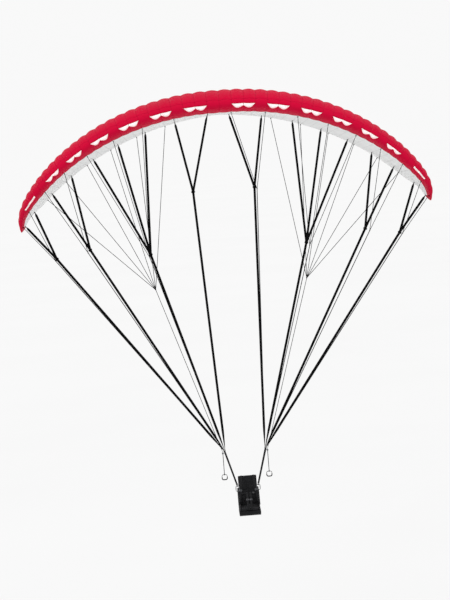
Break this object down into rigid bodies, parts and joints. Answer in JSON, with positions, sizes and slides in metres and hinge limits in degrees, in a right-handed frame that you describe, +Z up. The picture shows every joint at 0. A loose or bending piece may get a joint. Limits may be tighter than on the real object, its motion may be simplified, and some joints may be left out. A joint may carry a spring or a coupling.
{
  "type": "paraglider",
  "caption": "Paraglider: ram-air canopy with paired leading-edge intakes, fanned lines, risers, hand brakes and a seated harness.",
  "frame": {"origin": "on the plane of symmetry, at the canopy's underside a third of the root chord back from the nose, where the air's lift holds the glider", "axes": "+X to the flyer's left across the span, -Y forward out of the leading edge, +Z up"},
  "size_m": [8.753, 2.8788, 8.9418],
  "materials": {
    "canopy_red": "coated ripstop nylon, satin crimson",
    "canopy_grey": "coated ripstop nylon, satin pale grey",
    "line_black": "braided sheath, black",
    "harness_black": "woven pack cloth over foam, black",
    "webbing_black": "woven polyester webbing, black",
    "handle_black": "padded webbing, black",
    "alloy": "anodised, satin grey"
  },
  "bodies": {
    "wing": {"upper_skin": "canopy_red", "intake_band": "canopy_red", "lower_skin": "canopy_grey", "wingtip_left": "canopy_red", "wingtip_right": "canopy_red", "a_lines_left_1": "line_black", "a_lines_left_2": "line_black", "a_lines_left_3": "line_black", "a_lines_left_4": "line_black", "b_lines_left_1": "line_black", "b_lines_left_2": "line_black", "b_lines_left_3": "line_black", "b_lines_left_4": "line_black", "a_lines_right_1": "line_black", "a_lines_right_2": "line_black", "a_lines_right_3": "line_black", "a_lines_right_4": "line_black", "b_lines_right_1": "line_black", "b_lines_right_2": "line_black", "b_lines_right_3": "line_black", "b_lines_right_4": "line_black", "brake_lines_left": "line_black", "riser_left": "webbing_black", "brake_pulley_left": "alloy", "brake_cord_left": "line_black", "brake_lines_right": "line_black", "riser_right": "webbing_black", "brake_pulley_right": "alloy", "brake_cord_right": "line_black"},
    "harness": {"seat_pad": "harness_black", "back_pad": "harness_black", "back_protector": "harness_black", "reserve_container": "harness_black", "chest_strap": "webbing_black", "carabiner_left": "alloy", "side_panel_left": "harness_black", "hip_webbing_left": "webbing_black", "shoulder_strap_left": "webbing_black", "leg_strap_left": "webbing_black", "carabiner_right": "alloy", "side_panel_right": "harness_black", "hip_webbing_right": "webbing_black", "shoulder_strap_right": "webbing_black", "leg_strap_right": "webbing_black"},
    "brake_left": {"brake_handle_left": "handle_black"},
    "brake_right": {"brake_handle_right": "handle_black"}
  },
  "joints": [
    {"name": "harness_pitch", "type": "hinge", "parent": "wing", "child": "harness", "pos_m": [0, 0, -7.87], "axis": [1, 0, 0], "range_deg": [-20, 35]},
    {"name": "brake_pull_left", "type": "slide", "parent": "wing", "child": "brake_left", "axis": [0, 0, -1], "range_m": [0, 0.6], "stiffness_N_per_m": 80, "springref_m": -0.05, "deforming": ["brake_cord_left"]},
    {"name": "brake_pull_right", "type": "slide", "parent": "wing", "child": "brake_right", "axis": [0, 0, -1], "range_m": [0, 0.6], "stiffness_N_per_m": 80, "springref_m": -0.05, "deforming": ["brake_cord_right"]}
  ]
}
